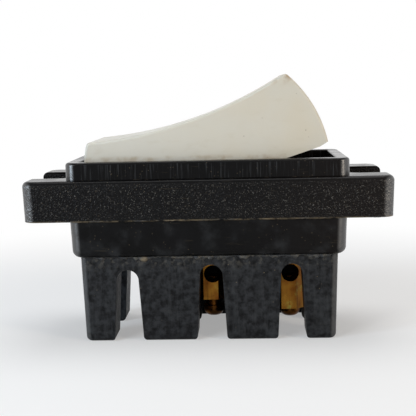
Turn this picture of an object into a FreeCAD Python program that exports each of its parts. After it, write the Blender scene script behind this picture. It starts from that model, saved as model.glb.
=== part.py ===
import FreeCAD
import Part
import math
import os

from FreeCAD import Vector

os.makedirs("parts", exist_ok=True)

# Rocker wiring switch. The origin is midway between the two fixing holes, on the underside of the flange.
# +X runs along the switch towards the rocker's raised end, +Y across it, +Z up through the rocker.

# Flange of the cover plate
FLANGE_LENGTH = 60.0
FLANGE_WIDTH = 24.0
FLANGE_HEIGHT = 6.6
FLANGE_CORNER = 2.2
FLANGE_DRAFT = 0.2
FLANGE_EDGE = 0.9

# Fixing ears at the ends of the flange
EAR_LAND_WIDTH = 12.0
EAR_LAND_HEIGHT = 4.0
EAR_INNER_CORNER = 2.0
FIXING_SPACING = 52.0
FIXING_HOLE_R = 1.9
FIXING_SINK_R = 3.1
FIXING_SINK_DEPTH = 1.2

# Bezel and skirt of the cover plate
BEZEL_WALL = 2.1
BEZEL_TOP = 9.45
BEZEL_CORNER = 2.0
BEZEL_EDGE = 0.5
MOUTH_EDGE = 0.25
SKIRT_WALL = 1.6
SKIRT_SIDE_EXTRA = 0.15
CAVITY_STEP = 0.05
SKIRT_DEPTH = 6.05
SKIRT_CORNER = 2.0
SKIRT_EDGE = 1.2
SKIRT_DRAFT = 0.25

# Rocker
ROCKER_WIDTH = 17.2
ROCKER_R = 20.1
ROCKER_LOW_ANGLE = 5.4
ROCKER_TIP_ANGLE = 32.2
ROCKER_CENTRE_HEIGHT = 8.6
ROCKER_BELLY = 2.25
ROCKER_TOE_LENGTH = 1.5
ROCKER_TIP_R = 0.7
ROCKER_SIDE_R = 0.4
ROCKER_WALL = 1.5
ROCKER_TOP_WALL = 1.8
ROCKER_TILT = 18.0
ROCKER_END_GAP = 0.75
ROCKER_SIDE_GAP = 0.25
BOSS_R = 3.2
BOSS_DEPTH = 5.5

# Pivot pin
PIVOT_HEIGHT = 7.6
PIN_R = 1.0
PIN_RUNNING_GAP = 0.05
PIN_SEAT_DEPTH = 0.8

# Base moulding
PLUG_GAP = 0.1
PLUG_TOP = -0.1
END_BLOCK_GAP = 0.72
FLOOR_TOP = -5.2
FLOOR_BOTTOM = -8.0
PLUG_SIDE_WALL = 2.0
PLUG_END_WALL = 5.2
POST_BOTTOM = -20.3
POST_LENGTH = 42.1
POST_WIDTH = 20.0
POST_TAPER = 0.4
POST_CORNER = 1.2
POST_EDGE = 0.8
CHANNEL_WIDTH = 8.0
GAP_DRAFT = 0.55
REAR_WALL = 1.5
WEB_THICKNESS = 2.4
WEB_X = 6.7
KEEPER_GAP = 0.1

# Bays of the base: centre, width and height of the arch of each gap between the posts
BAYS = {
    "spare": (-13.35, 3.6, -8.3),
    "common": (0.35, 3.75, -7.6),
    "load": (13.5, 3.5, -7.6),
}

# Contact gear
FULCRUM_HEIGHT = -1.9
ARM_TILT = 8.0
ARM_THICKNESS = 0.9
ARM_LENGTH = 22.4
ARM_WIDTH = 8.0
SADDLE_R = 4.24
SADDLE_HEIGHT = 1.0
PIP_WIDTH = 0.7
PIP_GAP = 0.4
PIP_LENGTH = 1.4
BRACKET_THICKNESS = 0.8
BRACKET_WIDTH = 6.8
BRACKET_LENGTH = 5.2
KNIFE_GAP = 0.1
CONTACT_X = 9.4
CONTACT_R = 1.2
CONTACT_DOME_R = 2.55
CONTACT_LIFT = 0.3
CONTACT_BREAK = 0.11
FIXED_STRIP_START = 7.6
FIXED_STRIP_END = 15.2
FIXED_STRIP_WIDTH = 5.6

# Plunger and its spring, along the rocker's own axis below the pivot
PLUNGER_R = 2.0
PLUNGER_GAP = 0.1
PLUNGER_TOP = -3.2
PLUNGER_TIP = -8.4
PLUNGER_NOSE_R = 1.0
PLUNGER_CUP_R = 1.5
PLUNGER_CUP_FLOOR = -6.6
BORE_TOP = -1.6
SPRING_WIRE = 0.36
SPRING_R = 1.2
SPRING_TURNS = 6.5
SPRING_SEAT = 0.03

# Terminals: block centre, block height below the floor pocket, and how far the clamp screw is backed out
TERMINAL_HALF_LENGTH = 2.6
TERMINAL_HALF_WIDTH = 3.6
TERMINAL_CHAMFER = 1.35
TERMINAL_POCKET = 1.2
TERMINAL_SEAT = 0.05
WIRE_HOLE_R = 1.5
WIRE_HOLE_HEIGHT = -10.4
COMMON_BLOCK_X = 0.0
COMMON_BLOCK_HEIGHT = 8.0
COMMON_BACK_OUT = 1.6
LOAD_BLOCK_X = 13.2
LOAD_BLOCK_HEIGHT = 9.8
LOAD_BACK_OUT = 0.05

# Screws
CLAMP_SHANK_R = 1.3
CLAMP_HEAD_R = 1.75
CLAMP_HEAD_HEIGHT = 1.8
CLAMP_DOME_R = 1.1
CLAMP_SLOT_WIDTH = 0.6
CLAMP_SLOT_DEPTH = 0.8
CLAMP_TIP_GAP = 0.1
THREAD_GAP = 0.05
TAB_SCREW_R = 1.0
TAB_SCREW_HEAD_R = 1.8
TAB_SCREW_HEAD_HEIGHT = 1.1
TAB_SCREW_REACH = 1.7
TAB_SCREW_SLOT = 0.5
END_SCREW_R = 0.8
END_SCREW_HEAD_R = 1.6
END_SCREW_LENGTH = 5.0
END_SCREW_DEPTH_GAP = 0.3
END_SCREW_HEIGHT = -3.6

# Stop pad under the open end of the contact arm
STOP_PAD_LENGTH = 2.0
STOP_PAD_WIDTH = 6.0
STOP_PAD_TOP = -2.35

# Worked-out sizes
MOUTH_HALF_LENGTH = ROCKER_R + ROCKER_END_GAP
MOUTH_HALF_WIDTH = ROCKER_WIDTH / 2 + ROCKER_SIDE_GAP
BEZEL_HALF_LENGTH = MOUTH_HALF_LENGTH + BEZEL_WALL
BEZEL_HALF_WIDTH = MOUTH_HALF_WIDTH + BEZEL_WALL
CAVITY_HALF_LENGTH = MOUTH_HALF_LENGTH + CAVITY_STEP
CAVITY_HALF_WIDTH = MOUTH_HALF_WIDTH + PIN_SEAT_DEPTH
SKIRT_HALF_LENGTH = CAVITY_HALF_LENGTH + SKIRT_WALL
SKIRT_HALF_WIDTH = CAVITY_HALF_WIDTH + SKIRT_WALL + SKIRT_SIDE_EXTRA
PLUG_HALF_LENGTH = CAVITY_HALF_LENGTH - PLUG_GAP
PLUG_HALF_WIDTH = CAVITY_HALF_WIDTH - PLUG_GAP
PLUG_ROOM_HALF_LENGTH = PLUG_HALF_LENGTH - PLUG_END_WALL
PLUG_ROOM_HALF_WIDTH = PLUG_HALF_WIDTH - PLUG_SIDE_WALL
BORE_R = PLUNGER_R + PLUNGER_GAP
PIN_HOLE_R = PIN_R + PIN_RUNNING_GAP
POCKET_TOP = FLOOR_BOTTOM + TERMINAL_POCKET
BLOCK_TOP = POCKET_TOP - TERMINAL_SEAT
STRIP_TOP = FLOOR_TOP + BRACKET_THICKNESS
ROCKER_DIP = ROCKER_R * math.sin(math.radians(ROCKER_LOW_ANGLE + ROCKER_TILT))
END_BLOCK_TOP = PIVOT_HEIGHT - ROCKER_DIP - END_BLOCK_GAP
BIG = 100.0
OVERRUN = 1.0
SMALL = 0.01
TINY = 1e-4


def box(x0, x1, y0, y1, z0, z1):
    return Part.makeBox(x1 - x0, y1 - y0, z1 - z0, Vector(x0, y0, z0))


def centred_box(half_x, half_y, z0, z1):
    return box(-half_x, half_x, -half_y, half_y, z0, z1)


def cylinder(r, x, y, z0, z1):
    return Part.makeCylinder(r, z1 - z0, Vector(x, y, z0))


def cylinder_y(r, x, z, y0, y1):
    return Part.makeCylinder(r, y1 - y0, Vector(x, y0, z), Vector(0, 1, 0))


def rounded_outline(half_x, half_y, radius, z):
    """A closed wire round a rectangle with rounded corners."""
    edges = []
    corners = [(1, 1, 0), (-1, 1, 90), (-1, -1, 180), (1, -1, 270)]
    arcs = []
    for sx, sy, start in corners:
        centre = Vector(sx * (half_x - radius), sy * (half_y - radius), z)
        angles = [math.radians(start + step) for step in (0, 45, 90)]
        points = [centre + Vector(math.cos(a), math.sin(a), 0) * radius for a in angles]
        arcs.append(Part.Arc(*points).toShape())
    for here, after in zip(arcs, arcs[1:] + arcs[:1]):
        edges.append(here)
        edges.append(Part.makeLine(here.lastVertex(True).Point, after.firstVertex(True).Point))
    return Part.Wire(edges)


def tapered_block(half_x, half_y, radius, z0, z1, taper):
    """A rounded block that is smaller by the taper at its lower end."""
    low = rounded_outline(half_x - taper, half_y - taper, radius, z0)
    high = rounded_outline(half_x, half_y, radius, z1)
    return Part.makeLoft([low, high], True, True)


def edges_at_height(shape, z):
    """The edges that lie wholly at one height."""
    return [e for e in shape.Edges if abs(e.BoundBox.ZMin - z) < TINY and abs(e.BoundBox.ZMax - z) < TINY]


def upright_edges(shape, x_limit, y_limit):
    """The vertical edges that lie no further out than the limits."""
    found = []
    for edge in shape.Edges:
        room = edge.BoundBox
        upright = room.XLength < TINY and room.YLength < TINY
        if upright and abs(room.XMin) < x_limit and abs(room.YMin) < y_limit:
            found.append(edge)
    return found


def both_ends(shape):
    """The shape and its mirror image across the YZ plane."""
    return [shape, shape.mirror(Vector(0, 0, 0), Vector(1, 0, 0))]


def tilted(shape, angle, x, z):
    """Turns a shape about an axis along Y through x, z, raising its +X end by the angle."""
    turned = shape.copy()
    turned.rotate(Vector(x, 0, z), Vector(0, -1, 0), angle)
    return turned


def extruded_xz(points, y0, y1):
    """A prism with the closed outline of XZ points, between two planes across Y."""
    corners = [Vector(x, y0, z) for x, z in points]
    wire = Part.makePolygon(corners + corners[:1])
    return Part.Face(wire).extrude(Vector(0, y1 - y0, 0))


def arc_edge(cx, cz, radius, start, end, y):
    """An arc in the XZ plane about a centre, with its angles in degrees from +X towards +Z."""
    angles = [math.radians(a) for a in (start, (start + end) / 2, end)]
    points = [Vector(cx + radius * math.cos(a), y, cz + radius * math.sin(a)) for a in angles]
    return Part.Arc(*points).toShape()


def ear_recess():
    """The lowered land at the +X ear, with rounded inner corners."""
    half = EAR_LAND_WIDTH / 2
    end = FLANGE_LENGTH / 2 + OVERRUN
    recess = box(BEZEL_HALF_LENGTH, end, -half, half, EAR_LAND_HEIGHT, BEZEL_TOP)
    return recess.makeFillet(EAR_INNER_CORNER, upright_edges(recess, BEZEL_HALF_LENGTH + 0.1, BIG))


def fixing_hole():
    x = FIXING_SPACING / 2
    hole = cylinder(FIXING_HOLE_R, x, 0, -OVERRUN, EAR_LAND_HEIGHT + OVERRUN)
    sink_bottom = EAR_LAND_HEIGHT - FIXING_SINK_DEPTH
    sink = Part.makeCone(FIXING_HOLE_R, FIXING_SINK_R, FIXING_SINK_DEPTH, Vector(x, 0, sink_bottom))
    return hole.fuse(sink)


def end_screw_axis(x):
    return Vector(x, 0, END_SCREW_HEIGHT)


def end_screw_shape(shank_r, head_r, length):
    """The countersunk screw at the +X end, pointing inwards from the outer face of the skirt."""
    face = SKIRT_HALF_LENGTH - SKIRT_DRAFT
    inwards = Vector(-1, 0, 0)
    shank = Part.makeCylinder(shank_r, length, end_screw_axis(face), inwards)
    head = Part.makeCone(head_r, shank_r, head_r - shank_r, end_screw_axis(face), inwards)
    return shank.fuse(head)


def cover_plate():
    """Flange, bezel and skirt in one moulding."""
    flange = tapered_block(
        FLANGE_LENGTH / 2, FLANGE_WIDTH / 2, FLANGE_CORNER, 0, FLANGE_HEIGHT, FLANGE_DRAFT
    )
    flange = flange.makeFillet(FLANGE_EDGE, edges_at_height(flange, FLANGE_HEIGHT))
    outline = rounded_outline(BEZEL_HALF_LENGTH, BEZEL_HALF_WIDTH, BEZEL_CORNER, 0.5)
    bezel = Part.Face(outline).extrude(Vector(0, 0, BEZEL_TOP - 0.5))
    bezel = bezel.makeFillet(BEZEL_EDGE, edges_at_height(bezel, BEZEL_TOP))
    skirt = tapered_block(
        SKIRT_HALF_LENGTH, SKIRT_HALF_WIDTH, SKIRT_CORNER, -SKIRT_DEPTH, 1.0, SKIRT_DRAFT
    )
    skirt = skirt.makeFillet(SKIRT_EDGE, edges_at_height(skirt, -SKIRT_DEPTH))
    for recess in both_ends(ear_recess()):
        flange = flange.cut(recess)
    cover = flange.fuse([bezel, skirt])
    cover = cover.cut(centred_box(MOUTH_HALF_LENGTH, MOUTH_HALF_WIDTH, -BIG, BIG))
    cover = cover.cut(centred_box(CAVITY_HALF_LENGTH, CAVITY_HALF_WIDTH, -BIG, 0))
    slot_top = cylinder_y(PIN_HOLE_R, 0, PIVOT_HEIGHT, -CAVITY_HALF_WIDTH, CAVITY_HALF_WIDTH)
    slot = box(-PIN_HOLE_R, PIN_HOLE_R, -CAVITY_HALF_WIDTH, CAVITY_HALF_WIDTH, -1, PIVOT_HEIGHT)
    cover = cover.cut([slot_top, slot])
    screw_room = end_screw_shape(END_SCREW_R + THREAD_GAP, END_SCREW_HEAD_R + THREAD_GAP, END_SCREW_LENGTH)
    cover = cover.cut(both_ends(fixing_hole()) + both_ends(screw_room))
    cover = cover.removeSplitter()
    mouth = []
    for edge in edges_at_height(cover, BEZEL_TOP):
        room = edge.BoundBox
        if abs(room.XMax) < MOUTH_HALF_LENGTH + SMALL and abs(room.YMax) < MOUTH_HALF_WIDTH + SMALL:
            mouth.append(edge)
    return cover.makeFillet(MOUTH_EDGE, mouth)


def bay_gap(centre, width, arch_top, y0, y1):
    """The round-topped gap between two posts, drafted and with rounded feet."""
    half = width / 2
    foot = half + GAP_DRAFT
    turn = POST_EDGE * (1 - math.sqrt(0.5))
    right_side = [
        Vector(centre + half, y0, arch_top - half),
        Vector(centre + foot, y0, POST_BOTTOM + POST_EDGE),
        Vector(centre + foot + turn, y0, POST_BOTTOM + turn),
        Vector(centre + foot + POST_EDGE, y0, POST_BOTTOM),
        Vector(centre + foot + POST_EDGE, y0, POST_BOTTOM - OVERRUN),
    ]
    left_side = [Vector(2 * centre - p.x, y0, p.z) for p in right_side]
    edges = [Part.Arc(left_side[0], Vector(centre, y0, arch_top), right_side[0]).toShape()]
    for side in (right_side, left_side):
        edges.append(Part.makeLine(side[0], side[1]))
        edges.append(Part.Arc(side[1], side[2], side[3]).toShape())
        edges.append(Part.makeLine(side[3], side[4]))
    edges.append(Part.makeLine(right_side[4], left_side[4]))
    outline = Part.Wire(Part.__sortEdges__(edges))
    return Part.Face(outline).extrude(Vector(0, y1 - y0, 0))


def terminal_outline(x, grow, z0, z1):
    """An eight-sided prism round a terminal block, larger by the given amount."""
    a = TERMINAL_HALF_LENGTH + grow
    b = TERMINAL_HALF_WIDTH + grow
    c = TERMINAL_CHAMFER
    quarter = [(a, b - c), (a - c, b)]
    points = quarter + [(-px, py) for px, py in reversed(quarter)]
    points = points + [(-px, -py) for px, py in points]
    corners = [Vector(x + px, py, z0) for px, py in points]
    return Part.Face(Part.makePolygon(corners + corners[:1])).extrude(Vector(0, 0, z1 - z0))


def posts():
    """The four pairs of posts under the floor, joined by webs and backed by a wall."""
    block = tapered_block(
        POST_LENGTH / 2, POST_WIDTH / 2, POST_CORNER, POST_BOTTOM, -SKIRT_DEPTH, POST_TAPER
    )
    block = block.makeFillet(POST_EDGE, edges_at_height(block, POST_BOTTOM))
    channel = centred_box(BIG, CHANNEL_WIDTH / 2, POST_BOTTOM - OVERRUN, FLOOR_BOTTOM)
    for x in (-WEB_X, WEB_X):
        web = box(x - WEB_THICKNESS / 2, x + WEB_THICKNESS / 2, -BIG, BIG, -BIG, BIG)
        channel = channel.cut(web)
    block = block.cut(channel)
    for name, (centre, width, arch_top) in BAYS.items():
        rear = BIG if name == "spare" else POST_WIDTH / 2 - REAR_WALL
        near_cut = bay_gap(centre, width, arch_top, -BIG, -CHANNEL_WIDTH / 2 + SMALL)
        rear_cut = bay_gap(centre, width, arch_top, CHANNEL_WIDTH / 2 - SMALL, rear)
        block = block.cut([near_cut, rear_cut])
    return block


def plug():
    """The part of the base inside the cover's skirt, with the room for the contact gear."""
    body = centred_box(PLUG_HALF_LENGTH, PLUG_HALF_WIDTH, -SKIRT_DEPTH - 0.5, PLUG_TOP)
    body = body.cut(centred_box(PLUG_ROOM_HALF_LENGTH, PLUG_ROOM_HALF_WIDTH, FLOOR_TOP, BIG))
    over_block = box(PLUG_ROOM_HALF_LENGTH, BIG, -BIG, BIG, END_BLOCK_TOP, BIG)
    return body.cut(both_ends(over_block))


def keeper_tongues():
    """The two tongues that close the pin slots of the cover under the pivot pin."""
    half = PIN_HOLE_R - KEEPER_GAP
    outer = CAVITY_HALF_WIDTH - KEEPER_GAP
    inner = MOUTH_HALF_WIDTH + KEEPER_GAP / 2
    top = PIVOT_HEIGHT - PIN_R - KEEPER_GAP
    return [
        box(-half, half, -outer, -inner, PLUG_TOP - 0.5, top),
        box(-half, half, inner, outer, PLUG_TOP - 0.5, top),
    ]


def stop_rib():
    """The rib that carries the stop pad under the open end of the contact arm."""
    top = STOP_PAD_TOP - BRACKET_THICKNESS
    half = STOP_PAD_LENGTH / 2
    width = STOP_PAD_WIDTH / 2
    return box(-CONTACT_X - half, -CONTACT_X + half, -width, width, FLOOR_TOP - 0.5, top)


def base():
    """The lower moulding: plug, floor, posts, keeper tongues and stop rib."""
    moulding = plug().fuse([posts(), stop_rib()] + keeper_tongues())
    cuts = []
    for x in (COMMON_BLOCK_X, LOAD_BLOCK_X):
        cuts.append(terminal_outline(x, TERMINAL_SEAT, POST_BOTTOM, POCKET_TOP))
        cuts.append(cylinder(TAB_SCREW_R + THREAD_GAP, x, 0, POST_BOTTOM, 0))
    screw_depth = END_SCREW_LENGTH + END_SCREW_DEPTH_GAP
    screw_room = end_screw_shape(END_SCREW_R + THREAD_GAP, END_SCREW_HEAD_R, screw_depth)
    return moulding.cut(cuts + both_ends(screw_room)).removeSplitter()


def rocker_outline(shrink, top_wall, floor, y0, y1):
    """The rocker's side view as a prism, in its own frame with the pivot at the origin."""
    outer = ROCKER_R - shrink
    tip = math.radians(ROCKER_TIP_ANGLE)
    tip_x = ROCKER_R * math.cos(tip)
    sag = ROCKER_R * math.sin(tip) - ROCKER_CENTRE_HEIGHT
    dish_r = (tip_x ** 2 + sag ** 2) / (2 * sag)
    dish_z = ROCKER_CENTRE_HEIGHT + dish_r
    dish_edge = dish_r + top_wall
    low = math.degrees(math.asin(-ROCKER_R * math.sin(math.radians(ROCKER_LOW_ANGLE)) / outer))
    block = box(-outer, outer, y0, y1, floor, ROCKER_R)
    block = block.common(cylinder_y(outer, 0, 0, y0, y1))
    block = block.cut(cylinder_y(dish_edge, 0, dish_z, y0 - OVERRUN, y1 + OVERRUN))
    if shrink == 0:
        toe_z = outer * math.sin(math.radians(low))
        toe_x = outer * math.cos(math.radians(low))
        toe_outline = [(toe_x - ROCKER_TOE_LENGTH, floor), (BIG, floor - OVERRUN), (BIG, toe_z), (toe_x, toe_z)]
        toe = extruded_xz(toe_outline, y0 - OVERRUN, y1 + OVERRUN)
        block = block.cut(both_ends(toe))
    return block


def tip_edges(shape):
    """The edges across the rocker's two raised tips."""
    reach = ROCKER_R * math.cos(math.radians(ROCKER_TIP_ANGLE))
    found = []
    for edge in shape.Edges:
        room = edge.BoundBox
        across = room.YLength > ROCKER_WIDTH / 2 and room.XLength < TINY
        if across and abs(abs(room.XMin) - reach) < 0.2 and room.ZMin > ROCKER_CENTRE_HEIGHT:
            found.append(edge)
    return found


def side_edges(shape):
    """The edges round both sides of the rocker, apart from those of its open underside."""
    half = ROCKER_WIDTH / 2
    low = -ROCKER_R * math.sin(math.radians(ROCKER_LOW_ANGLE)) - SMALL
    found = []
    for edge in shape.Edges:
        room = edge.BoundBox
        on_side = room.YLength < TINY and abs(abs(room.YMin) - half) < TINY
        if on_side and room.ZMin > low and room.ZMax > 0:
            found.append(edge)
    return found


def rocker():
    """The hollow rocker with its boss, pivot hole and plunger bore."""
    half = ROCKER_WIDTH / 2
    inner_half = half - ROCKER_WALL
    shell = rocker_outline(0, 0, -ROCKER_BELLY, -half, half)
    shell = shell.makeFillet(ROCKER_TIP_R, tip_edges(shell))
    shell = shell.makeFillet(ROCKER_SIDE_R, side_edges(shell))
    hollow = rocker_outline(ROCKER_WALL, ROCKER_TOP_WALL, -ROCKER_BELLY - OVERRUN, -inner_half, inner_half)
    shell = shell.cut(hollow)
    boss_top = ROCKER_CENTRE_HEIGHT - ROCKER_TOP_WALL / 2
    shell = shell.fuse(cylinder(BOSS_R, 0, 0, -BOSS_DEPTH, boss_top))
    bore = cylinder(BORE_R, 0, 0, -BOSS_DEPTH - OVERRUN, BORE_TOP)
    pin_hole = cylinder_y(PIN_HOLE_R, 0, 0, -half - OVERRUN, half + OVERRUN)
    shell = shell.cut([bore, pin_hole])
    shell = shell.removeSplitter()
    shell.translate(Vector(0, 0, PIVOT_HEIGHT))
    return tilted(shell, ROCKER_TILT, 0, PIVOT_HEIGHT)


def pivot_pin():
    reach = CAVITY_HALF_WIDTH - PIN_RUNNING_GAP
    pin = cylinder_y(PIN_R, 0, PIVOT_HEIGHT, -reach, reach)
    return pin.makeChamfer(PIN_R / 5, [e for e in pin.Edges if e.BoundBox.YLength < TINY])


def plunger():
    """The sliding cup whose rounded nose works the contact arm."""
    nose_centre = PLUNGER_TIP + PLUNGER_NOSE_R
    shoulder = nose_centre + PLUNGER_R - PLUNGER_NOSE_R
    body = cylinder(PLUNGER_R, 0, 0, shoulder, PLUNGER_TOP)
    cone = Part.makeCone(PLUNGER_NOSE_R, PLUNGER_R, shoulder - nose_centre, Vector(0, 0, nose_centre))
    nose = Part.makeSphere(PLUNGER_NOSE_R, Vector(0, 0, nose_centre))
    cup = cylinder(PLUNGER_CUP_R, 0, 0, PLUNGER_CUP_FLOOR, PLUNGER_TOP + OVERRUN)
    shape = body.fuse([cone, nose]).cut(cup)
    shape.translate(Vector(0, 0, PIVOT_HEIGHT))
    return tilted(shape, ROCKER_TILT, 0, PIVOT_HEIGHT)


def plunger_spring():
    """The coil spring between the rocker's bore and the plunger's cup."""
    low = PLUNGER_CUP_FLOOR + SPRING_SEAT + SPRING_WIRE / 2
    high = BORE_TOP - SPRING_SEAT - SPRING_WIRE / 2
    path = Part.makeHelix((high - low) / SPRING_TURNS, high - low, SPRING_R)
    section = Part.Wire(Part.makeCircle(SPRING_WIRE / 2, Vector(SPRING_R, 0, 0), Vector(0, 1, 0)))
    coil = Part.Wire(path.Edges).makePipeShell([section], True, True)
    coil.translate(Vector(0, 0, PIVOT_HEIGHT + low))
    return tilted(coil, ROCKER_TILT, 0, PIVOT_HEIGHT)


def contact_arm():
    """The rocking strip with a saddle over the fulcrum, in its tilted rest position."""
    half = ARM_LENGTH / 2
    saddle_z = SADDLE_HEIGHT + SADDLE_R
    top = SADDLE_HEIGHT + ARM_THICKNESS
    y = ARM_WIDTH / 2
    strip = box(-half, half, -y, y, SADDLE_HEIGHT, top)
    dish = cylinder_y(SADDLE_R + ARM_THICKNESS, 0, saddle_z, -y, y)
    dish = dish.common(box(-half, half, -y, y, -1, top))
    strip = strip.fuse(dish).cut(cylinder_y(SADDLE_R, 0, saddle_z, -y - OVERRUN, y + OVERRUN))
    slot = PIP_WIDTH / 2 + PIP_GAP
    outer = BRACKET_WIDTH / 2 + PIP_GAP / 2
    inner = BRACKET_WIDTH / 2 - BRACKET_THICKNESS - PIP_GAP / 2
    for y0, y1 in ((inner, outer), (-outer, -inner)):
        strip = strip.cut(box(-slot, slot, y0, y1, -1, top + OVERRUN))
    strip.translate(Vector(0, 0, FULCRUM_HEIGHT))
    return tilted(strip.removeSplitter(), -ARM_TILT, 0, FULCRUM_HEIGHT)


def moving_contact_tip():
    """The domed contact under the arm's working end."""
    under = SADDLE_HEIGHT
    disc = cylinder(CONTACT_R, CONTACT_X, 0, CONTACT_LIFT, under)
    dome = Part.makeSphere(CONTACT_DOME_R, Vector(CONTACT_X, 0, CONTACT_LIFT + CONTACT_DOME_R))
    tip = disc.common(dome)
    tip.translate(Vector(0, 0, FULCRUM_HEIGHT))
    return tilted(tip, -ARM_TILT, 0, FULCRUM_HEIGHT)


def lowest_contact_height():
    """How low the domed contact reaches at rest."""
    tilt = math.radians(ARM_TILT)
    centre = CONTACT_LIFT + CONTACT_DOME_R
    return FULCRUM_HEIGHT + centre * math.cos(tilt) - CONTACT_X * math.sin(tilt) - CONTACT_DOME_R


def fulcrum_bracket():
    """The folded bracket whose two uprights carry the contact arm."""
    half = BRACKET_LENGTH / 2
    y = BRACKET_WIDTH / 2
    shape = box(-half, half, -y, y, FLOOR_TOP, STRIP_TOP)
    top = FULCRUM_HEIGHT - KNIFE_GAP
    for y0 in (-y, y - BRACKET_THICKNESS):
        y1 = y0 + BRACKET_THICKNESS
        outline = [(-half, FLOOR_TOP), (half, FLOOR_TOP), (PIP_WIDTH, top), (-PIP_WIDTH, top)]
        upright = extruded_xz(outline, y0, y1)
        pip = box(-PIP_WIDTH / 2, PIP_WIDTH / 2, y0, y1, top - 0.1, top + PIP_LENGTH)
        shape = shape.fuse([upright, pip])
    hole = cylinder(TAB_SCREW_R + THREAD_GAP, COMMON_BLOCK_X, 0, FLOOR_TOP - OVERRUN, STRIP_TOP + OVERRUN)
    return shape.cut(hole).removeSplitter()


def fixed_contact_strip():
    half = FIXED_STRIP_WIDTH / 2
    strip = box(FIXED_STRIP_START, FIXED_STRIP_END, -half, half, FLOOR_TOP, STRIP_TOP)
    hole = cylinder(TAB_SCREW_R + THREAD_GAP, LOAD_BLOCK_X, 0, FLOOR_TOP - OVERRUN, STRIP_TOP + OVERRUN)
    return strip.cut(hole)


def fixed_contact_tip():
    top = lowest_contact_height() - CONTACT_BREAK
    tip = cylinder(CONTACT_R, CONTACT_X, 0, STRIP_TOP, top)
    return tip.makeFillet(CONTACT_BREAK, edges_at_height(tip, top))


def terminal(name, x, height):
    """A brass block with its wire hole, its clamp screw hole and the tapped hole in its top."""
    bottom = BLOCK_TOP - height
    wire_x = BAYS[name][0]
    block = terminal_outline(x, 0, bottom, BLOCK_TOP)
    reach = TERMINAL_HALF_WIDTH + OVERRUN
    wire_hole = cylinder_y(WIRE_HOLE_R, wire_x, WIRE_HOLE_HEIGHT, -reach, reach)
    clamp_hole = cylinder(CLAMP_SHANK_R + THREAD_GAP, wire_x, 0, bottom - OVERRUN, WIRE_HOLE_HEIGHT)
    tab_bottom = POCKET_TOP - TAB_SCREW_REACH - THREAD_GAP
    tab_hole = cylinder(TAB_SCREW_R + THREAD_GAP, x, 0, tab_bottom, BLOCK_TOP + OVERRUN)
    return block.cut([wire_hole, clamp_hole, tab_hole])


def clamp_screw(name, height, back_out):
    """A slotted cheese-head screw with a slightly domed head, driven upwards into its block."""
    x = BAYS[name][0]
    head_top = BLOCK_TOP - height - back_out
    head_bottom = head_top - CLAMP_HEAD_HEIGHT
    tip = WIRE_HOLE_HEIGHT - WIRE_HOLE_R - CLAMP_TIP_GAP
    shank = cylinder(CLAMP_SHANK_R, x, 0, head_top, tip)
    head = cylinder(CLAMP_HEAD_R, x, 0, head_bottom, head_top)
    head = head.makeFillet(CLAMP_DOME_R, edges_at_height(head, head_bottom))
    slot = CLAMP_SLOT_WIDTH / 2
    cut = box(x - BIG, x + BIG, -slot, slot, head_bottom - OVERRUN, head_bottom + CLAMP_SLOT_DEPTH)
    return head.fuse(shank).cut(cut)


def tab_screw(x):
    """The screw that clamps a contact strip to the floor and to its terminal block."""
    head_top = STRIP_TOP + TAB_SCREW_HEAD_HEIGHT
    shank = cylinder(TAB_SCREW_R, x, 0, POCKET_TOP - TAB_SCREW_REACH, STRIP_TOP)
    head = cylinder(TAB_SCREW_HEAD_R, x, 0, STRIP_TOP, head_top)
    half = TAB_SCREW_SLOT / 2
    slot = box(x - BIG, x + BIG, -half, half, head_top - TAB_SCREW_SLOT, head_top + OVERRUN)
    return head.fuse(shank).cut(slot)


def off_stop_pad():
    half = STOP_PAD_LENGTH / 2
    width = STOP_PAD_WIDTH / 2
    low = STOP_PAD_TOP - BRACKET_THICKNESS
    return box(-CONTACT_X - half, -CONTACT_X + half, -width, width, low, STOP_PAD_TOP)


def end_screw():
    """The +X end screw, which ties the skirt to the base."""
    screw = end_screw_shape(END_SCREW_R, END_SCREW_HEAD_R, END_SCREW_LENGTH)
    face = SKIRT_HALF_LENGTH - SKIRT_DRAFT
    half = END_SCREW_R / 3
    slot = box(face - half, face + OVERRUN, -BIG, BIG, END_SCREW_HEIGHT - half, END_SCREW_HEIGHT + half)
    return screw.cut(slot)


def build():
    right_screw, left_screw = both_ends(end_screw())
    return {
        "cover_plate": cover_plate(),
        "base": base(),
        "rocker": rocker(),
        "pivot_pin": pivot_pin(),
        "plunger": plunger(),
        "plunger_spring": plunger_spring(),
        "contact_arm": contact_arm(),
        "moving_contact_tip": moving_contact_tip(),
        "fulcrum_bracket": fulcrum_bracket(),
        "fixed_contact_strip": fixed_contact_strip(),
        "fixed_contact_tip": fixed_contact_tip(),
        "common_terminal": terminal("common", COMMON_BLOCK_X, COMMON_BLOCK_HEIGHT),
        "load_terminal": terminal("load", LOAD_BLOCK_X, LOAD_BLOCK_HEIGHT),
        "common_clamp_screw": clamp_screw("common", COMMON_BLOCK_HEIGHT, COMMON_BACK_OUT),
        "load_clamp_screw": clamp_screw("load", LOAD_BLOCK_HEIGHT, LOAD_BACK_OUT),
        "common_terminal_screw": tab_screw(COMMON_BLOCK_X),
        "load_terminal_screw": tab_screw(LOAD_BLOCK_X),
        "off_stop_pad": off_stop_pad(),
        "cover_screw_right": right_screw,
        "cover_screw_left": left_screw,
    }


for node, shape in build().items():
    print(node, shape.isValid(), len(shape.Solids), round(shape.Volume, 2))
    shape.exportStep(f"parts/{node}.step")
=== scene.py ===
import math

import bmesh
import bpy
from mathutils import Matrix, Vector, noise


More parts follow.
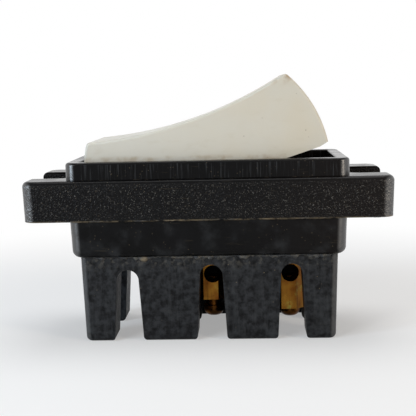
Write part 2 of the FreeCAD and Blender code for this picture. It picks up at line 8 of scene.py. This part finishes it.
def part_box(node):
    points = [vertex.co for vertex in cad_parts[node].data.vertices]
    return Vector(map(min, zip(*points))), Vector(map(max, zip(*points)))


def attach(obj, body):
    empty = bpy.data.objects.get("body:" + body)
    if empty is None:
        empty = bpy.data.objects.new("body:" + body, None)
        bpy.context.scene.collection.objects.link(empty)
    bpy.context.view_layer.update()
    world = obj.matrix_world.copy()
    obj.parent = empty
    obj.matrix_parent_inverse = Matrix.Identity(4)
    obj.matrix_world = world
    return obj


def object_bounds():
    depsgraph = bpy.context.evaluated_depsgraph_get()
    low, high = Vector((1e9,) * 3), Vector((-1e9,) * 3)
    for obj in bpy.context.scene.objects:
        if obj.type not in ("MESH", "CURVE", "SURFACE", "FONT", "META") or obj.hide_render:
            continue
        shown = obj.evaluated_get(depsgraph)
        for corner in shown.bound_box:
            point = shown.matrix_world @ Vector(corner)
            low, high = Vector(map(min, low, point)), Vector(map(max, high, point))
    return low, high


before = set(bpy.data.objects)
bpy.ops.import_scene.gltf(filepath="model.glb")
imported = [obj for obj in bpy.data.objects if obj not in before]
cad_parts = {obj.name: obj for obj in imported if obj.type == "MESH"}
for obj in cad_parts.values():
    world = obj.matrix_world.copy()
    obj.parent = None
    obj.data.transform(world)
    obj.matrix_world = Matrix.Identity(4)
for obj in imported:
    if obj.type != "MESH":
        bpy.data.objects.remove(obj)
cad_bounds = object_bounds()
MM = 0.001

# Camera, in the part's own frame
CAMERA_PLACE = Vector((6.511, -159.357, 21.235)) * MM
CAMERA_YAW = math.radians(2.458)
CAMERA_PITCH = math.radians(7.434)
CAMERA_ROLL = math.radians(1.346)
CAMERA_LENS = 80.86

# The object, in millimetres
POST_CORNER = 1.2
FLANGE_CORNER = 2.2
BEZEL_STEP = 3.4

# Moulding flash: its spacing and depths in millimetres, its grain in repeats per millimetre
FLASH_SPACING = 0.22
FLASH_GRAIN = 0.42
FLASH_ROOT = 0.06
PARTING_INSET = 0.19

# Wear: the band of grime on the rocker above the bezel, in millimetres, and the stretch of scratches
RIM_GRIME_SINK = 0.15
RIM_GRIME_HEIGHT = 0.6
SCRATCH_STRETCH = (0.05, 1, 1)

# Half the floor's width, in metres, and where its shadowed middle fades to white, in millimetres
FLOOR_HALF = 1.5
FLOOR_FADE_START = 45
FLOOR_FADE_END = 130

# Colours as they should render, written as sRGB values from 0 to 1
BLACK_GLOSS = (0.022, 0.020, 0.021)
PAINTED_WARM_LIGHT_BLACK = (0.085, 0.068, 0.060)
# painted warm light: the black's tone where the warm right-hand light falls
BLACK_MATTE = (0.055, 0.056, 0.061)
CHARCOAL = (0.175, 0.180, 0.188)
# painted highlight: the grey of sparkle on the flange's grit
PAINTED_SPARKLE_GREY = (0.42, 0.41, 0.39)
# grey of real scuffs, also used as painted reflection in the bezel streaks
SCUFF_AND_SHEEN_GREY = (0.235, 0.242, 0.250)
FLASH_TAN = (0.47, 0.42, 0.34)
FLASH_GREY = (0.30, 0.29, 0.27)
IVORY = (0.755, 0.743, 0.702)
# painted warm light: the ivory's tone where the warm right-hand light falls
IVORY_PAINTED_WARM_LIGHT = (0.752, 0.718, 0.645)
STAIN = (0.55, 0.43, 0.24)
PIT_BROWN = (0.38, 0.31, 0.22)
SMEAR_BEIGE = (0.68, 0.64, 0.55)
BRASS = (0.50, 0.35, 0.13)
BRASS_GREEN = (0.52, 0.50, 0.24)
BRASS_DARK = (0.22, 0.14, 0.06)
COPPER = (0.48, 0.29, 0.11)
SILVER = (0.80, 0.79, 0.76)
STEEL = (0.60, 0.60, 0.60)
RUST = (0.34, 0.22, 0.14)
FIBRE = (0.42, 0.17, 0.10)
FLOOR_TONE = (0.93, 0.93, 0.93)


def linear(colour):
    """An sRGB colour as the linear RGBA that a shader socket takes."""
    channels = [c / 12.92 if c <= 0.04045 else ((c + 0.055) / 1.055) ** 2.4 for c in colour]
    return (*channels, 1.0)


class Material:
    """A node material built a step at a time, with coordinates in millimetres of the part's frame."""

    def __init__(self, name, roughness=0.5, metallic=0.0, specular=0.5):
        self.material = bpy.data.materials.new(name)
        self.material.use_nodes = True
        self.tree = self.material.node_tree
        self.shader = self.tree.nodes["Principled BSDF"]
        self.shader.inputs["Roughness"].default_value = roughness
        self.shader.inputs["Metallic"].default_value = metallic
        self.shader.inputs["Specular IOR Level"].default_value = specular
        coordinates = self.add("ShaderNodeTexCoord").outputs["Object"]
        scale = self.add("ShaderNodeVectorMath", operation="SCALE")
        scale.inputs["Scale"].default_value = 1 / MM
        self.link(coordinates, scale.inputs[0])
        self.place = scale.outputs[0]
        split = self.add("ShaderNodeSeparateXYZ")
        self.link(self.place, split.inputs[0])
        self.x, self.y, self.z = split.outputs
        self.bump_output = None

    def add(self, kind, **settings):
        node = self.tree.nodes.new(kind)
        for key, value in settings.items():
            setattr(node, key, value)
        return node

    def link(self, source, target):
        self.tree.links.new(source, target)

    def feed(self, value, socket):
        if isinstance(value, (int, float)):
            socket.default_value = value
        else:
            self.link(value, socket)

    def math(self, operation, a, b=0.0):
        node = self.add("ShaderNodeMath", operation=operation)
        self.feed(a, node.inputs[0])
        self.feed(b, node.inputs[1])
        return node.outputs[0]

    def times(self, a, b):
        return self.math("MULTIPLY", a, b)

    def ramp(self, value, low, high, out_low=0.0, out_high=1.0):
        """Maps a value from one range onto another, smoothly and clamped."""
        node = self.add("ShaderNodeMapRange", interpolation_type="SMOOTHSTEP")
        self.feed(value, node.inputs["Value"])
        node.inputs["From Min"].default_value = low
        node.inputs["From Max"].default_value = high
        node.inputs["To Min"].default_value = out_low
        node.inputs["To Max"].default_value = out_high
        return node.outputs["Result"]

    def band(self, value, low, high, soft):
        """1 between two limits, falling to 0 over the soft width outside them."""
        rise = self.ramp(value, low - soft, low)
        fall = self.ramp(value, high, high + soft, 1.0, 0.0)
        return self.times(rise, fall)

    def noise(self, scale, detail=3.0, stretch=(1, 1, 1), roughness=0.5, shift=0.0):
        """Noise with its scale in repeats per millimetre."""
        mapping = self.add("ShaderNodeMapping")
        mapping.inputs["Scale"].default_value = stretch
        mapping.inputs["Location"].default_value = (shift, shift * 1.7, shift * 0.6)
        self.link(self.place, mapping.inputs["Vector"])
        node = self.add("ShaderNodeTexNoise")
        node.inputs["Scale"].default_value = scale
        node.inputs["Detail"].default_value = detail
        node.inputs["Roughness"].default_value = roughness
        self.link(mapping.outputs[0], node.inputs["Vector"])
        return node.outputs["Fac"]

    def cells(self, scale, shift=0.0):
        """Distance to the nearest of a scatter of points, at so many to the millimetre."""
        mapping = self.add("ShaderNodeMapping")
        mapping.inputs["Location"].default_value = (shift, shift, shift)
        self.link(self.place, mapping.inputs["Vector"])
        node = self.add("ShaderNodeTexVoronoi")
        node.inputs["Scale"].default_value = scale
        self.link(mapping.outputs[0], node.inputs["Vector"])
        return node.outputs["Distance"]

    def scratches(self, scale, angle):
        """Fine broken lines at an angle in the XZ plane."""
        mapping = self.add("ShaderNodeMapping")
        mapping.inputs["Rotation"].default_value = (0, math.radians(angle), 0)
        mapping.inputs["Scale"].default_value = SCRATCH_STRETCH
        self.link(self.place, mapping.inputs["Vector"])
        node = self.add("ShaderNodeTexNoise")
        node.inputs["Scale"].default_value = scale
        node.inputs["Detail"].default_value = 2.0
        self.link(mapping.outputs[0], node.inputs["Vector"])
        return self.ramp(node.outputs["Fac"], 0.66, 0.72)

    def mix(self, factor, a, b):
        node = self.add("ShaderNodeMix", data_type="RGBA")
        self.feed(factor, node.inputs[0])
        for value, socket in ((a, node.inputs[6]), (b, node.inputs[7])):
            if isinstance(value, tuple):
                socket.default_value = linear(value)
            else:
                self.link(value, socket)
        return node.outputs[2]

    def blend(self, factor, a, b):
        """Mixes two numbers."""
        node = self.add("ShaderNodeMix", data_type="FLOAT")
        self.feed(factor, node.inputs[0])
        self.feed(a, node.inputs[2])
        self.feed(b, node.inputs[3])
        return node.outputs[0]

    def edge_wear(self, radius_mm, low=0.02, high=0.25):
        """1 on convex edges, from how far a rounded normal leans from the true one."""
        bevel = self.add("ShaderNodeBevel", samples=4)
        bevel.inputs["Radius"].default_value = radius_mm * MM
        normal = self.add("ShaderNodeNewGeometry").outputs["Normal"]
        dot = self.add("ShaderNodeVectorMath", operation="DOT_PRODUCT")
        self.link(bevel.outputs[0], dot.inputs[0])
        self.link(normal, dot.inputs[1])
        lean = self.math("SUBTRACT", 1.0, dot.outputs["Value"])
        return self.ramp(lean, low, high)

    def polish_corners(self, flat, corner):
        """Handled upright corners are shinier than the flat faces between them."""
        split = self.add("ShaderNodeSeparateXYZ")
        self.link(self.add("ShaderNodeNewGeometry").outputs["Normal"], split.inputs[0])
        turn = self.math("ABSOLUTE", self.times(split.outputs[0], split.outputs[1]))
        level = self.ramp(turn, 0.12, 0.42, flat, corner)
        self.link(level, self.shader.inputs["Specular IOR Level"])

    def facing_up(self):
        """The upward part of the surface's own normal."""
        normal = self.add("ShaderNodeNewGeometry").outputs["Normal"]
        split = self.add("ShaderNodeSeparateXYZ")
        self.link(normal, split.inputs[0])
        return split.outputs[2]

    def bump(self, height, depth_mm):
        node = self.add("ShaderNodeBump")
        node.inputs["Strength"].default_value = 1.0
        node.inputs["Distance"].default_value = depth_mm * MM
        self.feed(height, node.inputs["Height"])
        if self.bump_output is not None:
            self.link(self.bump_output, node.inputs["Normal"])
        self.bump_output = node.outputs[0]
        self.link(self.bump_output, self.shader.inputs["Normal"])

    def finish(self, colour, roughness=None):
        self.link(colour, self.shader.inputs["Base Color"])
        if roughness is not None:
            self.feed(roughness, self.shader.inputs["Roughness"])
        return self.material


def cover_material():
    """Black moulding: streaked gloss on the bezel, pebbled flange sides, worn skirt, with painted warm light
    towards the right, painted sparkle on the flange grit and painted reflection along the bezel streaks.
    """
    m = Material("black_moulding")
    flange_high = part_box("cover_plate")[1].z / MM - BEZEL_STEP
    upright = m.ramp(m.math("ABSOLUTE", m.facing_up()), 0.2, 0.5, 1.0, 0.0)
    on_flange = m.times(m.band(m.z, 0.15, flange_high, 0.15), upright)
    on_bezel = m.times(m.ramp(m.z, flange_high + 0.5, flange_high + 0.7), upright)
    below = m.ramp(m.z, -0.1, 0.0, 1.0, 0.0)
    cloud = m.noise(0.25, 4.0)
    pebble = m.cells(2.6)
    grit = m.noise(5.0, 2.0, roughness=0.6)
    streak = m.noise(3.2, 3.0, stretch=(1, 1, 0.05))
    colour = m.mix(cloud, BLACK_GLOSS, BLACK_MATTE)
    # painted warm light: the black grows warmer towards the right end
    colour = m.mix(m.ramp(m.x, 0, 30, 0.0, 0.6), colour, PAINTED_WARM_LIGHT_BLACK)
    # painted highlight: the grit's peaks on the flange sides are lightened to stand for sparkle
    painted_sparkle = m.times(on_flange, m.ramp(grit, 0.60, 0.70, 0.0, 0.60))
    colour = m.mix(painted_sparkle, colour, PAINTED_SPARKLE_GREY)
    # bezel streaks: real mould streaks, lightened as painted reflection along them
    streaks = m.times(on_bezel, m.ramp(streak, 0.52, 0.72, 0.0, 0.50))
    colour = m.mix(streaks, colour, SCUFF_AND_SHEEN_GREY)
    haze = m.times(below, m.ramp(m.noise(0.30, 6.0, shift=12.0), 0.46, 0.80, 0.0, 0.35))
    colour = m.mix(haze, colour, SCUFF_AND_SHEEN_GREY)
    speck = m.ramp(m.cells(1.7, shift=3.0), 0.09, 0.15, 1.0, 0.0)
    dust = m.times(speck, m.ramp(m.noise(0.35, 2.0, shift=9.0), 0.46, 0.60))
    colour = m.mix(m.times(dust, 0.35), colour, FLASH_TAN)
    scratch = m.times(m.scratches(5.4, 34.0), m.ramp(m.noise(0.2, 2.0, shift=14.0), 0.5, 0.6))
    colour = m.mix(m.times(scratch, 0.08), colour, FLASH_TAN)
    parting = m.times(m.band(m.z, -0.05, 0.10, 0.15), m.ramp(m.noise(0.8, 4.0, shift=5.0), 0.36, 0.60))
    colour = m.mix(m.times(parting, 0.55), colour, FLASH_TAN)
    wear = m.times(m.edge_wear(0.25), m.ramp(m.noise(0.9, 4.0, shift=2.0), 0.52, 0.70))
    colour = m.mix(m.times(wear, 0.3), colour, FLASH_TAN)
    gloss = m.blend(on_flange, m.ramp(cloud, 0.3, 0.7, 0.12, 0.24), m.ramp(grit, 0.4, 0.65, 0.42, 0.22))
    gloss = m.blend(m.times(on_bezel, m.ramp(streak, 0.4, 0.65)), gloss, 0.34)
    gloss = m.blend(below, gloss, m.ramp(cloud, 0.35, 0.65, 0.24, 0.40))
    gloss = m.blend(parting, gloss, 0.85)
    m.polish_corners(0.08, 1.0)
    m.bump(m.times(m.ramp(pebble, 0.0, 0.7, 1.0, 0.0), on_flange), 0.10)
    m.bump(m.times(grit, on_flange), 0.10)
    m.bump(m.times(streak, on_bezel), 0.03)
    m.bump(m.noise(0.5, 3.0, shift=7.0), 0.05)
    return m.finish(colour, gloss)


def base_material():
    """Charcoal moulding, mottled and scuffed, with pale bruises under the skirt."""
    m = Material("charcoal_moulding")
    mottle = m.noise(0.9, 6.0, roughness=0.65)
    drag = m.noise(1.5, 4.0, stretch=(1, 1, 0.12), shift=4.0)
    colour = m.mix(m.ramp(mottle, 0.32, 0.68), BLACK_MATTE, CHARCOAL)
    colour = m.mix(m.ramp(drag, 0.50, 0.72, 0.0, 0.30), colour, SCUFF_AND_SHEEN_GREY)
    skirt_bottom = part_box("cover_plate")[0].z / MM
    near_joint = m.ramp(m.z, skirt_bottom - 3.0, skirt_bottom - 0.2)
    bruise = m.times(near_joint, m.ramp(m.noise(1.6, 6.0, shift=6.0), 0.50, 0.66))
    colour = m.mix(m.times(bruise, 0.6), colour, FLASH_GREY)
    speck = m.times(m.ramp(m.cells(1.1), 0.06, 0.10, 1.0, 0.0), m.ramp(m.noise(0.3, 2.0), 0.5, 0.6))
    colour = m.mix(m.times(speck, 0.6), colour, FLASH_TAN)
    scratch = m.times(m.scratches(4.5, -12.0), m.ramp(m.noise(0.25, 2.0, shift=18.0), 0.5, 0.6))
    colour = m.mix(m.times(scratch, 0.15), colour, FLASH_GREY)
    wear = m.times(m.edge_wear(0.3), m.ramp(m.noise(1.2, 4.0, shift=1.0), 0.46, 0.66))
    colour = m.mix(m.times(wear, 0.35), colour, FLASH_GREY)
    m.polish_corners(0.08, 0.5)
    m.bump(mottle, 0.14)
    m.bump(m.noise(7.0, 3.0), 0.04)
    return m.finish(colour, m.ramp(mottle, 0.3, 0.75, 0.36, 0.58))


def flash_material():
    """Torn moulding flash: tan where it broke, grey where it is dirty."""
    m = Material("moulding_flash", 0.7, specular=0.3)
    tear = m.noise(1.1, 5.0, shift=3.0)
    colour = m.mix(m.ramp(tear, 0.42, 0.62), CHARCOAL, FLASH_GREY)
    colour = m.mix(m.ramp(m.noise(0.22, 3.0, shift=21.0), 0.56, 0.66), colour, FLASH_TAN)
    m.bump(m.noise(4.0, 4.0), 0.08)
    return m.finish(colour, m.ramp(tear, 0.3, 0.7, 0.55, 0.85))


def rocker_material():
    """Ivory urea moulding, yellowed and stained at the raised tip, with grime along the rim and painted warm
    light towards the right.
    """
    m = Material("ivory_moulding", 0.35)
    m.shader.inputs["Subsurface Weight"].default_value = 0.08
    m.shader.inputs["Subsurface Radius"].default_value = (1.0, 0.9, 0.7)
    m.shader.inputs["Subsurface Scale"].default_value = 0.6 * MM
    cloud = m.noise(0.12, 4.0)
    # painted warm light: the ivory warms towards the right end, its strength varied by a random cloud
    warm = m.times(m.ramp(m.x, -14, 16, 0.1, 0.8), m.ramp(cloud, 0.3, 0.7, 0.4, 1.0))
    colour = m.mix(warm, IVORY, IVORY_PAINTED_WARM_LIGHT)
    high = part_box("rocker")[1].z / MM
    rim_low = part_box("cover_plate")[1].z / MM - RIM_GRIME_SINK
    near_tip = m.ramp(m.z, high - 2.2, high - 0.1)
    stain = m.times(near_tip, m.ramp(m.noise(0.6, 5.0, shift=2.0), 0.42, 0.68))
    stain = m.times(stain, m.ramp(m.x, 9.0, 13.0))
    colour = m.mix(m.times(stain, 0.9), colour, STAIN)
    rim = m.band(m.z, rim_low, rim_low + RIM_GRIME_HEIGHT, 0.5)
    rim = m.times(rim, m.ramp(m.noise(0.5, 5.0, shift=8.0), 0.4, 0.7))
    colour = m.mix(m.times(rim, 0.45), colour, STAIN)
    pits = m.ramp(m.cells(0.75, shift=1.3), 0.055, 0.09, 1.0, 0.0)
    pits = m.times(pits, m.ramp(m.noise(0.2, 2.0), 0.45, 0.6))
    colour = m.mix(m.times(pits, 0.75), colour, PIT_BROWN)
    smear = m.ramp(m.noise(0.35, 6.0, stretch=(1, 1, 2.5), shift=11.0), 0.55, 0.8, 0.0, 0.22)
    colour = m.mix(smear, colour, SMEAR_BEIGE)
    m.bump(m.noise(0.35, 3.0, shift=3.0), 0.05)
    m.bump(m.noise(5.0, 3.0), 0.008)
    return m.finish(colour, m.ramp(cloud, 0.3, 0.7, 0.30, 0.46))


def brass_material(name, base, roughness, streak=(1, 1, 0.08)):
    """Tarnished brass with drawn streaks, greener patches and dark spots."""
    m = Material(name, roughness, metallic=1.0)
    lines = m.noise(2.5, 3.0, stretch=streak)
    patch = m.noise(0.45, 5.0, shift=2.0)
    colour = m.mix(m.ramp(patch, 0.35, 0.7), base, COPPER)
    colour = m.mix(m.ramp(lines, 0.45, 0.75, 0.0, 0.5), colour, BRASS_DARK)
    colour = m.mix(m.ramp(m.noise(0.6, 3.0, shift=6.0), 0.58, 0.72, 0.0, 0.6), colour, BRASS_GREEN)
    colour = m.mix(m.ramp(m.cells(1.8), 0.06, 0.12, 0.7, 0.0), colour, BRASS_DARK)
    m.bump(lines, 0.02)
    return m.finish(colour, m.ramp(patch, 0.3, 0.7, roughness - 0.08, roughness + 0.15))


def steel_material(name, tint, roughness):
    """Zinc-plated or drawn steel with fine turning lines and spots of rust."""
    m = Material(name, roughness, metallic=1.0)
    lines = m.noise(6.0, 2.0, stretch=(1, 0.2, 1))
    colour = m.mix(m.ramp(lines, 0.3, 0.7), tint, tuple(0.8 * c for c in tint))
    colour = m.mix(m.ramp(m.noise(0.8, 5.0, shift=4.0), 0.58, 0.72, 0.0, 0.7), colour, RUST)
    m.bump(lines, 0.01)
    return m.finish(colour, m.ramp(lines, 0.3, 0.7, roughness - 0.06, roughness + 0.12))


def fibre_material():
    """Red-brown vulcanised fibre with a short grain."""
    m = Material("fibre", 0.6)
    grain = m.noise(3.0, 5.0, stretch=(1, 0.25, 1))
    colour = m.mix(m.ramp(grain, 0.3, 0.7), FIBRE, tuple(0.6 * c for c in FIBRE))
    m.bump(grain, 0.03)
    return m.finish(colour, m.ramp(grain, 0.3, 0.7, 0.5, 0.75))


def floor_material():
    """Pale matte floor that shows as white away from the object's shadow."""
    m = Material("floor", 0.9, specular=0.1)
    tone = m.mix(m.noise(0.02, 2.0), FLOOR_TONE, tuple(0.99 * c for c in FLOOR_TONE))
    m.finish(tone)
    glow = m.add("ShaderNodeEmission")
    glow.inputs["Color"].default_value = (1, 1, 1, 1)
    reach = m.add("ShaderNodeVectorMath", operation="LENGTH")
    m.link(m.place, reach.inputs[0])
    far = m.ramp(reach.outputs["Value"], FLOOR_FADE_START, FLOOR_FADE_END)
    near = m.blend(far, 0.35, 1.0)
    seen = m.add("ShaderNodeLightPath")
    any_seen = m.math("MAXIMUM", seen.outputs["Is Camera Ray"], seen.outputs["Is Glossy Ray"])
    any_seen = m.math("MAXIMUM", any_seen, seen.outputs["Is Transmission Ray"])
    mixer = m.add("ShaderNodeMixShader")
    m.link(m.times(near, any_seen), mixer.inputs[0])
    m.link(m.shader.outputs[0], mixer.inputs[1])
    m.link(glow.outputs[0], mixer.inputs[2])
    m.link(mixer.outputs[0], m.tree.nodes["Material Output"].inputs[0])
    return m.material


def give(material, *nodes):
    """Puts one material on every slot of the named CAD nodes."""
    for name in nodes:
        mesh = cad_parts[name].data
        mesh.materials.clear()
        mesh.materials.append(material)


def dress_cad_nodes():
    give(cover_material(), "cover_plate")
    give(base_material(), "base")
    give(rocker_material(), "rocker")
    give(brass_material("brass_block", BRASS, 0.34), "common_terminal", "load_terminal")
    give(brass_material("brass_screw", BRASS_DARK, 0.30, (1, 1, 1)), "common_clamp_screw", "load_clamp_screw")
    small_screw = brass_material("brass_small_screw", BRASS, 0.32, (1, 1, 1))
    give(small_screw, "common_terminal_screw", "load_terminal_screw")
    strip = brass_material("brass_strip", BRASS, 0.30, (0.1, 1, 1))
    give(strip, "contact_arm", "fulcrum_bracket", "fixed_contact_strip")
    give(steel_material("silver_contact", SILVER, 0.25), "moving_contact_tip", "fixed_contact_tip")
    give(steel_material("zinc_steel", STEEL, 0.32), "pivot_pin", "cover_screw_left", "cover_screw_right")
    give(steel_material("spring_wire", tuple(0.8 * c for c in STEEL), 0.28), "plunger_spring")
    give(fibre_material(), "plunger", "off_stop_pad")


def rim_path(half_x, half_y, radius, spacing):
    """Points with outward directions round a rounded rectangle, evenly spaced along its sides."""
    points = []
    turn_steps = max(4, int(radius * math.pi / 2 / spacing))
    for sx, sy, start in ((1, 1, 0), (-1, 1, 90), (-1, -1, 180), (1, -1, 270)):
        centre = Vector((sx * (half_x - radius), sy * (half_y - radius), 0))
        for step in range(turn_steps + 1):
            angle = math.radians(start + 90 * step / turn_steps)
            out = Vector((math.cos(angle), math.sin(angle), 0))
            points.append((centre + out * radius, out))
    filled = []
    for (here, out), (after, out_after) in zip(points, points[1:] + points[:1]):
        count = max(1, int((after - here).length / spacing))
        for step in range(count):
            share = step / count
            filled.append((here.lerp(after, share), out.lerp(out_after, share).normalized()))
    return filled


def add_flash(name, half_x, half_y, radius, top, reach, drop, floor_share):
    """A ragged bead of moulding flash round a joint, wider and deeper where the noise is high."""
    mesh = bmesh.new()
    rings = []
    for here, out in rim_path(half_x, half_y, radius, FLASH_SPACING):
        torn = noise.noise(here * FLASH_GRAIN) + 0.6 * noise.noise(here * FLASH_GRAIN * 3.1)
        rough = noise.noise(here * FLASH_GRAIN * 8.0)
        size = max(floor_share, min(1.0, 0.35 + 1.1 * torn + 0.25 * rough))
        wide = reach * size
        deep = drop * size
        profile = [
            (-FLASH_ROOT, top),
            (wide, top - FLASH_ROOT / 2),
            (wide * 0.75, top - deep / 2),
            (-FLASH_ROOT, top - deep),
        ]
        ring = []
        for outwards, height in profile:
            place = here + out * outwards
            ring.append(mesh.verts.new(Vector((place.x, place.y, height)) * MM))
        rings.append(ring)
    for ring, following in zip(rings, rings[1:] + rings[:1]):
        for i in range(len(ring)):
            j = (i + 1) % len(ring)
            mesh.faces.new((ring[i], ring[j], following[j], following[i]))
    bmesh.ops.recalc_face_normals(mesh, faces=mesh.faces)
    data = bpy.data.meshes.new(name)
    mesh.to_mesh(data)
    mesh.free()
    for face in data.polygons:
        face.use_smooth = True
    piece = bpy.data.objects.new(name, data)
    bpy.context.scene.collection.objects.link(piece)
    data.materials.append(flash_material())
    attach(piece, "base")


def add_moulding_flash():
    """Flash under the skirt, and a thinner line along the flange's lower edge."""
    base_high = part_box("base")[1]
    cover_low, cover_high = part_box("cover_plate")
    joint = cover_low.z / MM
    add_flash("joint_flash", base_high.x / MM, base_high.y / MM, POST_CORNER, joint, 0.45, 0.95, 0.12)
    half_x = cover_high.x / MM - PARTING_INSET
    half_y = cover_high.y / MM - PARTING_INSET
    add_flash("parting_flash", half_x, half_y, FLANGE_CORNER, 0.16, 0.09, 0.22, 0.3)


def add_floor():
    bottom = cad_bounds[0][2]
    mesh = bpy.data.meshes.new("floor")
    turns = ((-1, -1), (1, -1), (1, 1), (-1, 1))
    corners = [(x * FLOOR_HALF, y * FLOOR_HALF, bottom) for x, y in turns]
    mesh.from_pydata(corners, [], [(0, 1, 2, 3)])
    floor = bpy.data.objects.new("floor", mesh)
    bpy.context.scene.collection.objects.link(floor)
    mesh.materials.append(floor_material())


def add_area_light(name, place_mm, target_mm, size_mm, watts, colour):
    light = bpy.data.lights.new(name, "AREA")
    light.shape = "RECTANGLE"
    light.size = size_mm[0] * MM
    light.size_y = size_mm[1] * MM
    light.energy = watts
    light.color = colour
    lamp = bpy.data.objects.new(name, light)
    lamp.location = Vector(place_mm) * MM
    direction = (Vector(target_mm) - Vector(place_mm)).normalized()
    lamp.rotation_euler = direction.to_track_quat("-Z", "Y").to_euler()
    bpy.context.scene.collection.objects.link(lamp)


def add_lights():
    """A near-white key, a cool strip on the left, a warm one on the right and a broad top light."""
    add_area_light("key", (-170, -240, 170), (0, 0, 5), (90, 90), 0.26, (0.96, 0.98, 1.0))
    add_area_light("left_strip", (-230, -150, 40), (0, 0, 3), (80, 220), 0.62, (0.74, 0.87, 1.0))
    add_area_light("right_strip", (235, -165, 60), (0, 0, 3), (80, 200), 0.44, (1.0, 0.88, 0.74))
    add_area_light("top", (20, 60, 300), (0, 0, 0), (220, 220), 0.50, (1.0, 1.0, 1.0))


def add_world():
    world = bpy.data.worlds.new("studio")
    world.use_nodes = True
    bpy.context.scene.world = world
    tree = world.node_tree
    light = tree.nodes["Background"]
    light.inputs["Color"].default_value = (0.95, 0.97, 1.0, 1.0)
    light.inputs["Strength"].default_value = 0.18
    white = tree.nodes.new("ShaderNodeBackground")
    white.inputs["Color"].default_value = (1, 1, 1, 1)
    white.inputs["Strength"].default_value = 1.0
    path = tree.nodes.new("ShaderNodeLightPath")
    glossy = tree.nodes.new("ShaderNodeMath")
    glossy.operation = "MAXIMUM"
    tree.links.new(path.outputs["Is Camera Ray"], glossy.inputs[0])
    tree.links.new(path.outputs["Is Glossy Ray"], glossy.inputs[1])
    seen = tree.nodes.new("ShaderNodeMath")
    seen.operation = "MAXIMUM"
    tree.links.new(glossy.outputs[0], seen.inputs[0])
    tree.links.new(path.outputs["Is Transmission Ray"], seen.inputs[1])
    mixer = tree.nodes.new("ShaderNodeMixShader")
    tree.links.new(seen.outputs[0], mixer.inputs[0])
    tree.links.new(light.outputs[0], mixer.inputs[1])
    tree.links.new(white.outputs[0], mixer.inputs[2])
    tree.links.new(mixer.outputs[0], tree.nodes["World Output"].inputs[0])


def add_camera():
    """The camera at the photograph's viewing angle, turned by yaw, pitch and roll."""
    ahead = Vector((-math.sin(CAMERA_YAW), math.cos(CAMERA_YAW), 0))
    right = Vector((math.cos(CAMERA_YAW), math.sin(CAMERA_YAW), 0))
    up = Vector((0, 0, 1))
    forward = ahead * math.cos(CAMERA_PITCH) - up * math.sin(CAMERA_PITCH)
    tilted_up = ahead * math.sin(CAMERA_PITCH) + up * math.cos(CAMERA_PITCH)
    across = right * math.cos(CAMERA_ROLL) - tilted_up * math.sin(CAMERA_ROLL)
    upward = right * math.sin(CAMERA_ROLL) + tilted_up * math.cos(CAMERA_ROLL)
    data = bpy.data.cameras.new("camera")
    data.lens = CAMERA_LENS
    data.sensor_width = 36
    data.clip_start = 0.001
    camera = bpy.data.objects.new("camera", data)
    turn = Matrix((across, upward, -forward)).transposed().to_4x4()
    camera.matrix_world = Matrix.Translation(CAMERA_PLACE) @ turn
    bpy.context.scene.collection.objects.link(camera)
    bpy.context.scene.camera = camera


dress_cad_nodes()
add_moulding_flash()
add_floor()
add_lights()
add_world()
add_camera()
bpy.context.scene.view_settings.view_transform = "Standard"
